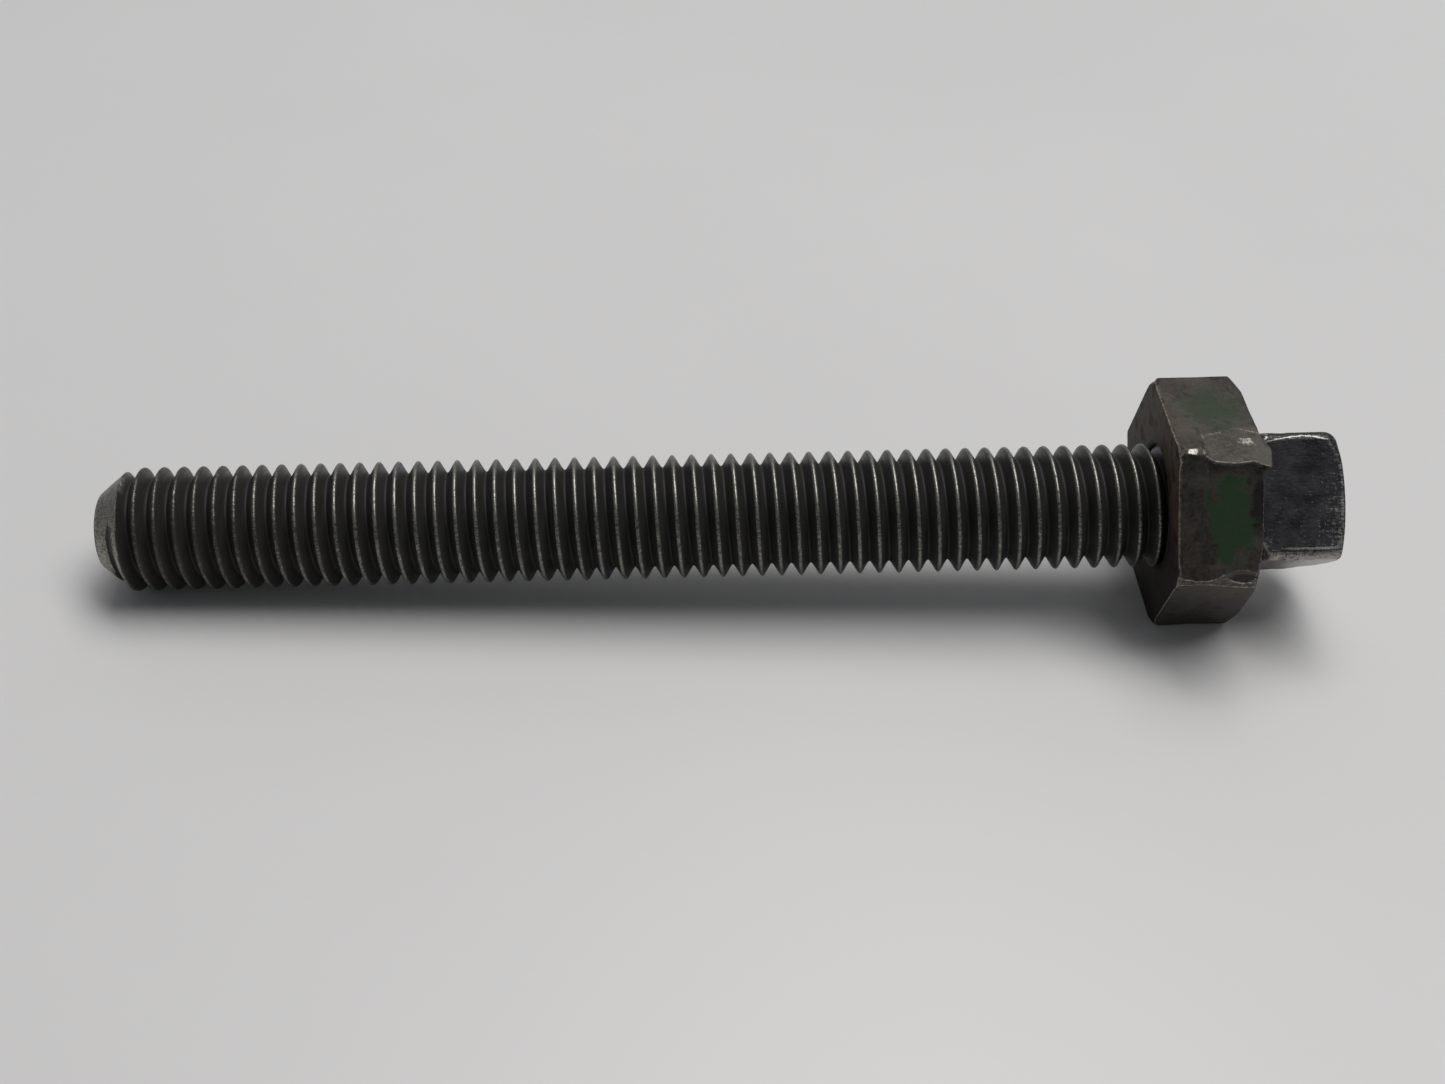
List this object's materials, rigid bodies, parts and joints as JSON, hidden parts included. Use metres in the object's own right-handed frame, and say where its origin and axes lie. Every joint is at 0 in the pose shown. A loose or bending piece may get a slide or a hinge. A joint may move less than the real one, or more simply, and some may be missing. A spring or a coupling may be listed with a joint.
{
  "type": "square head set screw with jam nut",
  "caption": "Fully threaded set screw with a crowned square head, a chamfered flat point and a hex jam nut run up to its head.",
  "frame": {"origin": "centre of the screw's flat point", "axes": "+X along the screw from its point to its head, -Z out of the flat that the nut stands on, Y level"},
  "size_m": [0.1226, 0.025, 0.0216],
  "materials": {
    "black_oxide_steel": "oily black oxide, worn to bare steel along the thread's crests and the head's edges",
    "worn_nut_steel": "dull brown-grey steel with hammer marks, light rust and remnants of green paint"
  },
  "bodies": {
    "screw": {"square_head_screw": "black_oxide_steel"},
    "nut": {"hex_jam_nut": "worn_nut_steel"}
  },
  "joints": [
    {"name": "nut_travel", "type": "slide", "parent": "screw", "child": "nut", "axis": [-1, 0, 0], "range_m": [0, 0.10551]}
  ]
}
